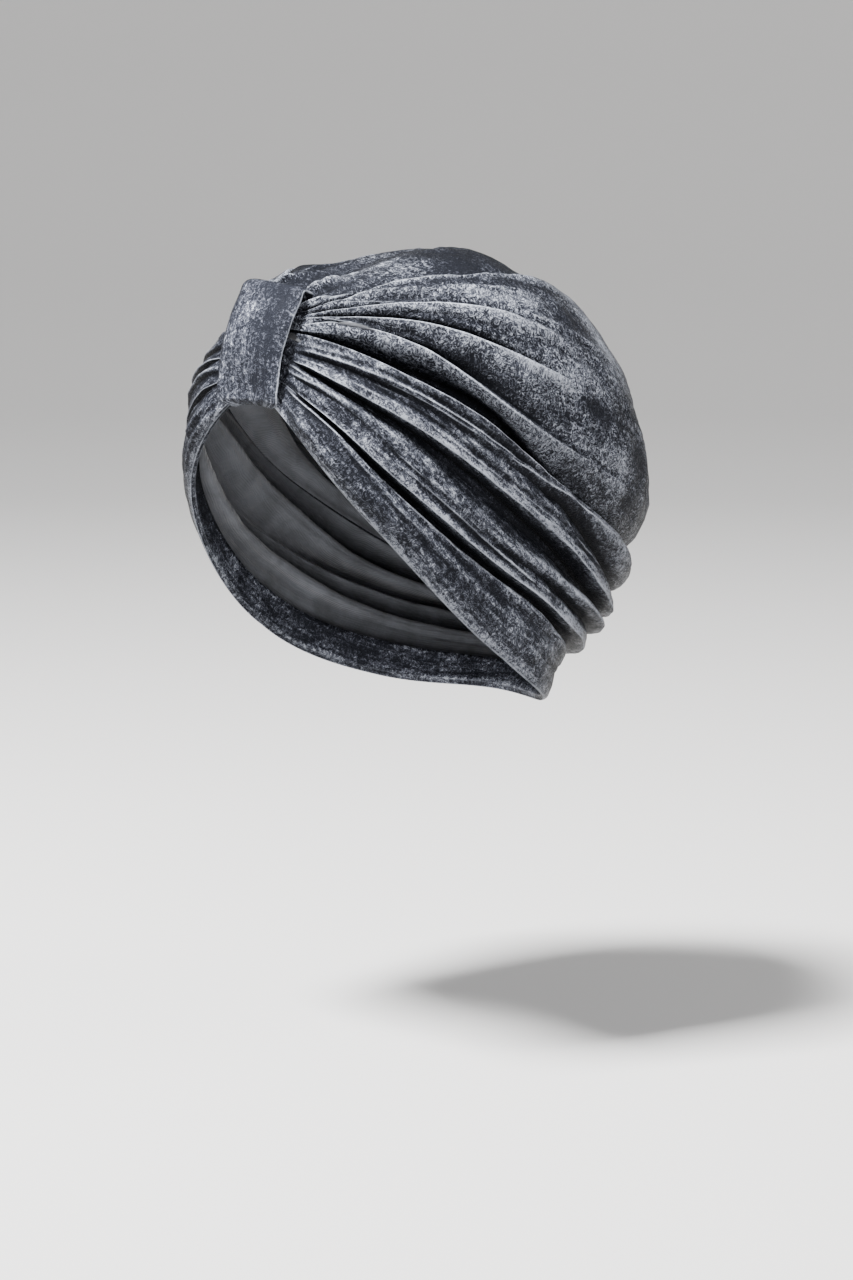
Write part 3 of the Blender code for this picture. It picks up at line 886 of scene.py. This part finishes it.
def top_line(t):
    """The line over the top, from the loop back and down to the crown's fullest turn."""
    front = gather_y(TOP_HEIGHTS[0])
    y = front + (TOP_BACK - front) * (1 - np.cos(math.pi * t)) / 2
    short = np.maximum(TOP_EDGE - (y - front), 0)
    edge = TOP_EDGE - np.sqrt(TOP_EDGE**2 - short**2)
    heights = through(TOP_HEIGHTS, t, TOP_HEIGHTS[-1] - TOP_HEIGHTS[-2])
    return np.stack([0 * t, y, heights - edge], -1)


def crown_form(t, turns):
    """The crown before its folds, from behind the wrap's edge up to the top."""
    side = turn(CROWN_TURN, t)
    foot = side * (0, 1, 1)
    up = np.radians(np.clip((turns - FULLEST_TURN) * DEGREES, 0, 90))
    power = through(CROWN_ROUND, t)
    dome = foot + (np.sin(up) ** power)[..., None] * (top_line(t) - foot)
    dome[..., 0] += np.maximum(np.cos(up), 0) ** power * side[:, 0]
    dome[turns >= LAST_TURN, 0] = 0
    low = wrap_form(t, np.minimum(turns, FULLEST_TURN))
    seam = turn(WRAP_TURNS[-1], t)
    share = np.clip(turns - (FULLEST_TURN - 1), 0, 1)[..., None] * math.pi / 2
    out = seam + (side - seam) * np.sin(share)
    rise = seam + (side - seam) * (1 - np.cos(share))
    tucked = np.where(share > 0, np.concatenate([out[..., :2], rise[..., 2:]], -1), low)
    low = low + (tucked - low) * eased(t, *UNDERSIDE)[:, None]
    return np.where((turns > FULLEST_TURN)[..., None], dome, low)


def crown_half(t, side):
    """One side of the crown, as a grid of points: side is 1 for the wearer's right."""
    places, reliefs = fold_rows(CROWN_FOLDS, t)
    row = np.arange(len(places))[:, None]
    even = np.maximum.accumulate(places, axis=0) + LEAST_STEP * row
    away = outward(crown_form(t, np.minimum(even, LAST_TURN)))
    points = swelled(crown_form(t, places), away, reliefs, eased(t, *CROWN_SWELL))
    gathers_seed, creases_seed = CROWN_CHANCE
    lines = CROWN_LINES + gathers(CROWN_GATHERS, *CROWN_GATHERED, gathers_seed)
    lines += creases(CROWN_CREASES, *CROWN_CREASED, creases_seed + side)
    lines += CROWN_FAR_LINES if side else ()
    fine = fine_folds(points, places, t, lines, side, CROWN_WANDER)
    fine = fine * eased(t, *CROWN_DETAIL_START) * (1 - eased(places, *CROWN_LINES_TOP))
    soft = crumple(points, t, side, *CROWN_WAVES) * (1 - eased(places, *CROWN_WAVES_TOP))
    return points + away * ((fine + soft) * eased(row, *CROWN_DETAIL_LOW))[..., None]


t = stations(CROWN_COLUMNS)
places = fold_rows(CROWN_FOLDS, t)[0]
crown_points = joined(*both_halves(crown_half, t), 0)
crown_pale = joined(brushing_and_light_at(t, places, CROWN_BRUSHING_AND_LIGHT),
                    brushing_and_light_at(t, places, CROWN_FAR_BRUSHING_AND_LIGHT), 0)
crown_velvet = crushed_velvet("slate crushed velvet, crown", *CROWN_PILE)
crown = cloth_piece("crown_velvet", crown_points, crown_pale, -1, (crown_velvet, backing))
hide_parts("crown")
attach(crown, "root")

# Front loop. A tube of the same velvet, pressed flat, that holds the gathers at the middle of
# the front. Its upper end goes over the gathers and its lower end turns up inside the hem.
LOOP_WIDTH = 39.0
LOOP_THICK = 2.4
# How flat the tube is pressed, and how round it is left at its two sides
LOOP_PRESSED = (8, 0.4)
# Its clearance from the gathers, how far its middle bulges, and how far its sides flare at the
# bottom and curl back at the top. The curl goes by the square of the distance from the middle
# and by its fourth power, in these two shares.
LOOP_CLEAR = 0.6
LOOP_BULGE = 2.5
LOOP_FLARE = 1.5
LOOP_CURL = 3.0
LOOP_CURL_SHARES = (0.4, 0.6)
# How far it leans to the wearer's right and stands forward from half way up. It stands half as
# far forward past this last part. Its top is this much higher at its right than in its middle.
LOOP_LEAN = 1.5
LOOP_FORWARD = 3.0
LOOP_SETTLES = (0.7, 1)
LOOP_TILT = 1.6
# Share of its width that it has inside the hem, where it comes round it, and at its upper end
LOOP_NARROW = 0.6
LOOP_OPEN = 0.98
LOOP_TOP = 0.92
# Room for the hem's two layers, how full the bend round them is, and over which part of that
# bend the loop opens to its width
LOOP_HEM_ROOM = 1.6
LOOP_HEM_BEND = 0.6
LOOP_OPENS = (0.3, 0.9)
# How far its ends go on: up inside the hem, and in over the gathers
LOOP_INSIDE = 22.0
LOOP_OVER = 4.0
# Rows of mesh inside the hem, round it, up the front, over the top and on to the end. The first
# and the third go between these shares of their stretch, to leave room for the bends.
LOOP_ROWS = (8, 9, 34, 7, 3)
LOOP_INSIDE_SPAN = (1, 0.12)
LOOP_FRONT_SPAN = (0.06, 0.97)
LOOP_COLUMNS = 44
# A row of its front face, which tells which way is out, and the row where its gathers start
LOOP_FRONT_ROW = 30
LOOP_PINCH_ROW = 14
# Its small gathers by the hem: how many, over which part of half its width, how far they may be
# off, how far up they run, how deep and how wide they are
LOOP_PINCHES = 13
LOOP_PINCHED = 0.85
LOOP_PINCH_OFF = 0.03
LOOP_PINCH_RUN = (5, 12)
LOOP_PINCH_DEPTH = 0.4
LOOP_PINCH_WIDE = 0.8
LOOP_CHANCE = 11
# Patches of brushing and of painted light and shade: the share of the way along, the place from
# its right side, -1, to its left, 1, and the rest as before
LOOP_BRUSHING_AND_LIGHT = (
    (0.5, -0.6, 0.4, 0.35, 1.0),
    (0.42, 0.05, 0.12, 0.25, 1.2),
    (0.6, 0.62, 0.32, 0.3, -1.5),
    (0.85, 0.3, 0.05, 0.3, -0.8),
    (0.75, -0.1, 0.1, 0.3, 1.2),
    (0.33, 0.3, 0.05, 0.4, -0.7),
)
LOOP_PILE = (2.0, 0.34, 0.2)
# The part of the hem that it may lie over, and in how many steps that is searched
HEM_REACH = 0.2
HEM_STEPS = 2000


def hem_at(x):
    """Point of the hem at this distance from the middle, near the loop."""
    near = turn(WRAP_TURNS[0], np.linspace(0, HEM_REACH, HEM_STEPS))
    return near[np.argmin(np.abs(near[:, 0] - x))]


def loop_line(side):
    """The middle of the tube's thickness: up inside the hem, round it, up and over the top."""
    inside_rows, hem_rows, front_rows, top_rows, end_rows = LOOP_ROWS
    half = side * LOOP_WIDTH / 2
    low = hem_at(abs(half) * LOOP_NARROW) * (0, 1, 1)
    top = TOP_HEIGHTS[0]
    square, fourth = LOOP_CURL_SHARES
    lie_back = LOOP_CURL * (square * side**2 + fourth * side**4)
    tilt = LOOP_TILT * (1 - side)
    high = np.array([0, gather_y(top) + lie_back - LOOP_FORWARD * 0.5, top - side**4 + tilt])
    along = (high - low) / np.linalg.norm(high - low)
    out = np.array([0, -along[2], along[1]])
    wide = np.array([half, 0, 0])
    front = LOOP_CLEAR + LOOP_THICK / 2
    inside = LOOP_HEM_ROOM + front
    path = []
    for share in np.linspace(*LOOP_INSIDE_SPAN, inside_rows):
        path.append(low - out * inside + along * LOOP_INSIDE * share + wide * LOOP_NARROW)
    middle = low + out * (front - inside) / 2 - along * LOOP_CLEAR
    for angle in np.linspace(0, math.pi, hem_rows):
        turned = out * math.cos(angle) + along * LOOP_HEM_BEND * math.sin(angle)
        spread = LOOP_NARROW + (LOOP_OPEN - LOOP_NARROW) * eased(angle / math.pi, *LOOP_OPENS)
        path.append(middle - turned * (front + inside) / 2 + wide * spread)
    for share in np.linspace(*LOOP_FRONT_SPAN, front_rows):
        bulge = LOOP_BULGE * (1 - side**4) * math.sin(math.pi * share) + front
        flare = LOOP_FLARE * side**2 * (1 - share)
        lean = LOOP_LEAN * math.sin(math.pi * min(share, 0.5)) * np.array([1.0, 0, 0])
        fore = LOOP_FORWARD * eased(share, 0, 0.5) * (1 - 0.5 * eased(share, *LOOP_SETTLES))
        path.append(low + (high - low) * share + out * (bulge + flare + fore) + wide - lean)
    for share in np.linspace(0, 1, top_rows):
        turned = out * math.cos(math.pi / 2 * share) + along * math.sin(math.pi / 2 * share)
        spread = wide * (1 + (LOOP_TOP - 1) * share)
        path.append(high + turned * (front + LOOP_FORWARD * 0.5) + spread - (LOOP_LEAN, 0, 0))
    for _ in range(end_rows):
        path.append(path[-1] - out * LOOP_OVER / end_rows)
    return np.array(path)


sides = -np.cos(np.linspace(0, math.pi, LOOP_COLUMNS + 1))
middle = np.array([loop_line(side) for side in sides]).transpose(1, 0, 2)
away = crossed(middle)
away[..., 0] = 0
away = unit(away)
away *= 1 if away[LOOP_FRONT_ROW, LOOP_COLUMNS // 2][1] < 0 else -1
flat, round_sides = LOOP_PRESSED
full = (1 - np.abs(sides) ** flat) ** round_sides * LOOP_THICK / 2
run = lengths(middle, 0)
up = np.maximum(run - run[LOOP_PINCH_ROW, LOOP_COLUMNS // 2], 0)
pinches = np.zeros(middle.shape[:2])
chance = np.random.default_rng(LOOP_CHANCE)
for across in np.linspace(-LOOP_PINCHED, LOOP_PINCHED, LOOP_PINCHES):
    at = across + chance.uniform(-LOOP_PINCH_OFF, LOOP_PINCH_OFF)
    fade = np.exp(-(up / chance.uniform(*LOOP_PINCH_RUN)) ** 2)
    off = (sides - at) * LOOP_WIDTH / 2
    pinches -= LOOP_PINCH_DEPTH * fade * np.exp(-((off / LOOP_PINCH_WIDE) ** 2))
front_face = middle + away * (full + pinches)[..., None]
back_face = middle - away * full[:, None]
loop_points = joined(front_face, back_face, 1)
loop_pale = brushing_and_light_at(np.linspace(0, 1, len(middle))[:, None], sides[None, :], LOOP_BRUSHING_AND_LIGHT)
# Its sharp bends are its two sides, so they are measured across it; they carry the painted
# highlight
loop_crest = np.abs(bend_of(loop_points.transpose(1, 0, 2)).T)
bm = woven(loop_points, (lengths(loop_points, 0), lengths(loop_points, 1)),
           {"crest": loop_crest, "brushing_and_light": joined(loop_pale, loop_pale, 1)})
bmesh.ops.remove_doubles(bm, verts=bm.verts, dist=SAME_POINT)
bmesh.ops.holes_fill(bm, edges=bm.edges, sides=0)
bmesh.ops.recalc_face_normals(bm, faces=bm.faces)
loop_velvet = crushed_velvet("slate crushed velvet, loop", *LOOP_PILE)
front_loop = finished("front_loop_velvet", bm, (loop_velvet,))
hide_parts("front_loop")
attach(front_loop, "root")

# Studio. A plain pale floor that runs up into the background, soft light, and the camera at
# the photograph's angle, a little above the wrap and to the wearer's left.
# The floor's height, its steps round, and its profile: how far out, and how high above its middle
FLOOR = -0.25
FLOOR_ROUND = 72
FLOOR_PROFILE = ((0, 0), (1, 0), (2.6, 0), (3.4, 0.04), (4.1, 0.2), (4.7, 0.55), (5.1, 1.1),
                 (5.3, 1.9))
FLOOR_SAME_POINT = 0.001
FLOOR_SETTINGS = (("Base Color", (0.9, 0.89, 0.88, 1)), ("Roughness", 0.9))
bm = bmesh.new()
bmesh.ops.create_grid(bm, x_segments=FLOOR_ROUND, y_segments=len(FLOOR_PROFILE) - 1, size=1)
for k, vert in enumerate(bm.verts):
    ring, step = divmod(k, FLOOR_ROUND + 1)
    out, up = FLOOR_PROFILE[ring]
    angle = 2 * math.pi * step / FLOOR_ROUND
    vert.co = (out * math.cos(angle), out * math.sin(angle), FLOOR + up)
bmesh.ops.remove_doubles(bm, verts=bm.verts, dist=FLOOR_SAME_POINT)
bmesh.ops.recalc_face_normals(bm, faces=bm.faces)
if sum(face.normal.z for face in bm.faces) < 0:
    bmesh.ops.reverse_faces(bm, faces=bm.faces)
floor_paint = new_finish("pale floor", FLOOR_SETTINGS)[0]
finished("studio_floor", bm, (floor_paint,))

# Light from all round
ROOM_COLOUR = (0.86, 0.86, 0.87, 1)
ROOM_STRENGTH = 0.36
room = bpy.data.worlds.new("studio")
room.use_nodes = True
room.node_tree.nodes["Background"].inputs["Color"].default_value = ROOM_COLOUR
room.node_tree.nodes["Background"].inputs["Strength"].default_value = ROOM_STRENGTH
bpy.context.scene.world = room

# Square lamps that all face the wrap: place, size and power
LAMPS = (
    ("key", (-0.2, -0.8, 1.9), 0.5, 175),
    ("fill", (1.7, -1.2, 0.5), 1.4, 7),
    ("back", (1.1, 0.9, 1.5), 0.7, 8),
)
for name, place, size, power in LAMPS:
    lamp = bpy.data.lights.new(name, "AREA")
    lamp.size = size
    lamp.energy = power
    stand = bpy.data.objects.new(name, lamp)
    stand.location = place
    stand.rotation_euler = (-Vector(place)).to_track_quat("-Z", "Y").to_euler()
    bpy.context.scene.collection.objects.link(stand)

# Camera: its place, its turn and tilt in degrees, its lens and film in millimetres, and how near
# it sees
CAMERA_PLACE = (1.13275, -1.05631, 0.13823)
CAMERA_TURN = 46.171
CAMERA_TILT = -7.718
CAMERA_LENS = 98.4375
CAMERA_FILM = 36
CAMERA_NEAR = 0.05
lens = bpy.data.cameras.new("camera")
lens.lens = CAMERA_LENS
lens.sensor_width = CAMERA_FILM
lens.clip_start = CAMERA_NEAR
camera = bpy.data.objects.new("camera", lens)
camera.location = CAMERA_PLACE
camera.rotation_euler = (math.radians(90 + CAMERA_TILT), 0, math.radians(CAMERA_TURN))
bpy.context.scene.collection.objects.link(camera)
bpy.context.scene.camera = camera
